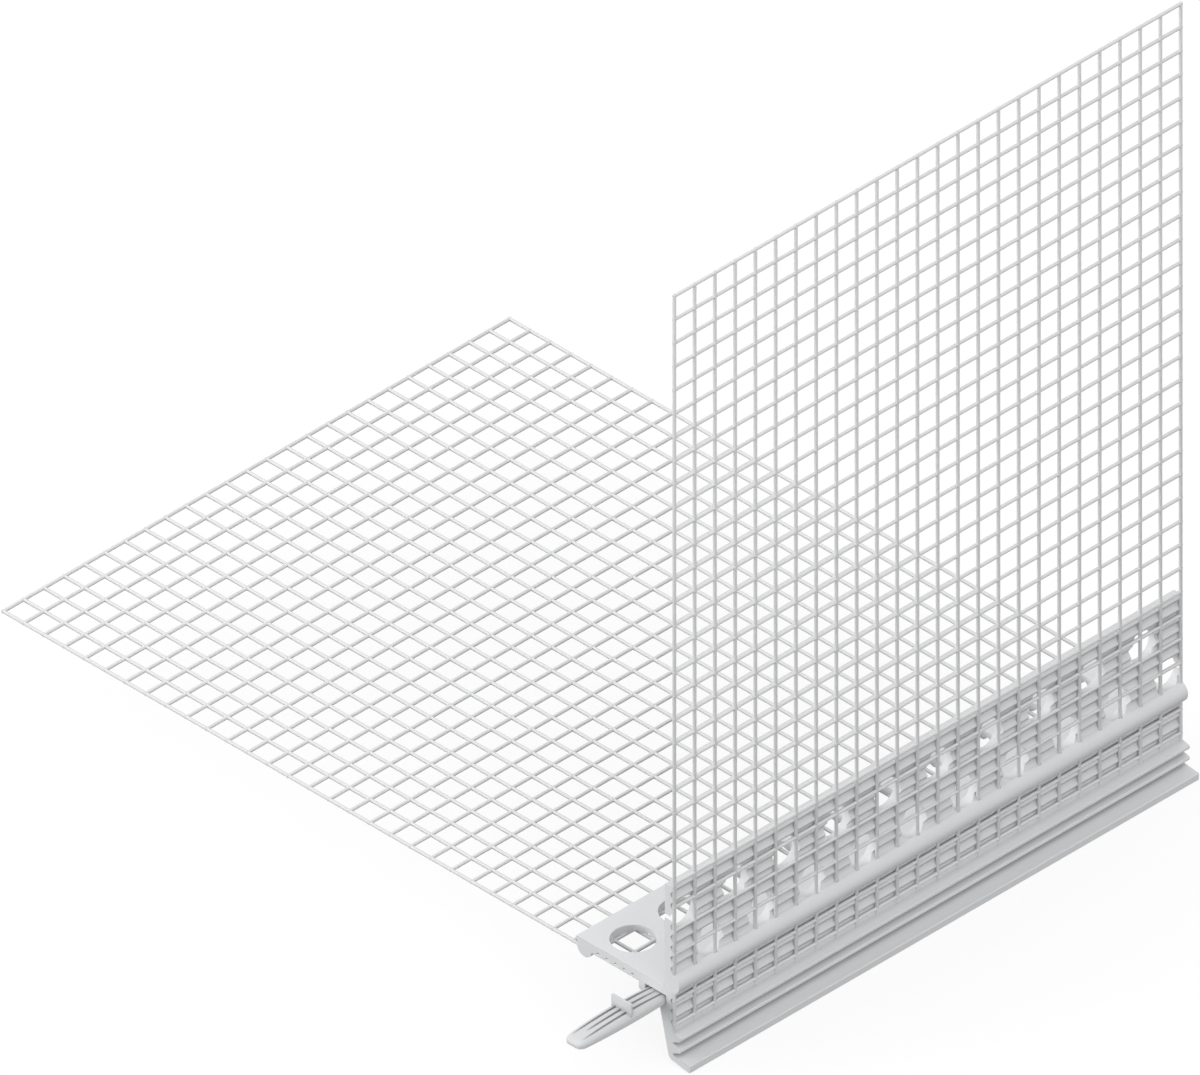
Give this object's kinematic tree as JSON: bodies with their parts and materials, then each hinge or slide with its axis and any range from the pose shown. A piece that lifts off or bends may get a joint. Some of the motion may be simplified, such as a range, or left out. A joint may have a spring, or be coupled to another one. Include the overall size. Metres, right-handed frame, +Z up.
{
  "type": "plaster drip bead",
  "caption": "Render drip profile for a facade and soffit edge: perforated ribbed L-section with drip lip, plug connector and two mesh wings.",
  "frame": {"origin": "half way along the section, in the inner corner where the board's front face meets its underside", "axes": "+X along the length away from the plug connector, +Y back into the building, +Z up the facade"},
  "size_m": [0.1455, 0.1692, 0.1635],
  "materials": {
    "profile_pvc": "satin extruded PVC",
    "plug_pvc": "satin moulded PVC",
    "mesh_scrim": "coated glass-fibre scrim"
  },
  "bodies": {
    "root": {"profile": "profile_pvc", "facade_mesh_upper": "mesh_scrim", "facade_mesh_middle": "mesh_scrim", "facade_mesh_lower": "mesh_scrim", "soffit_mesh_rear": "mesh_scrim", "soffit_mesh_middle": "mesh_scrim", "soffit_mesh_front": "mesh_scrim", "plug_connector": "plug_pvc"}
  },
  "joints": []
}
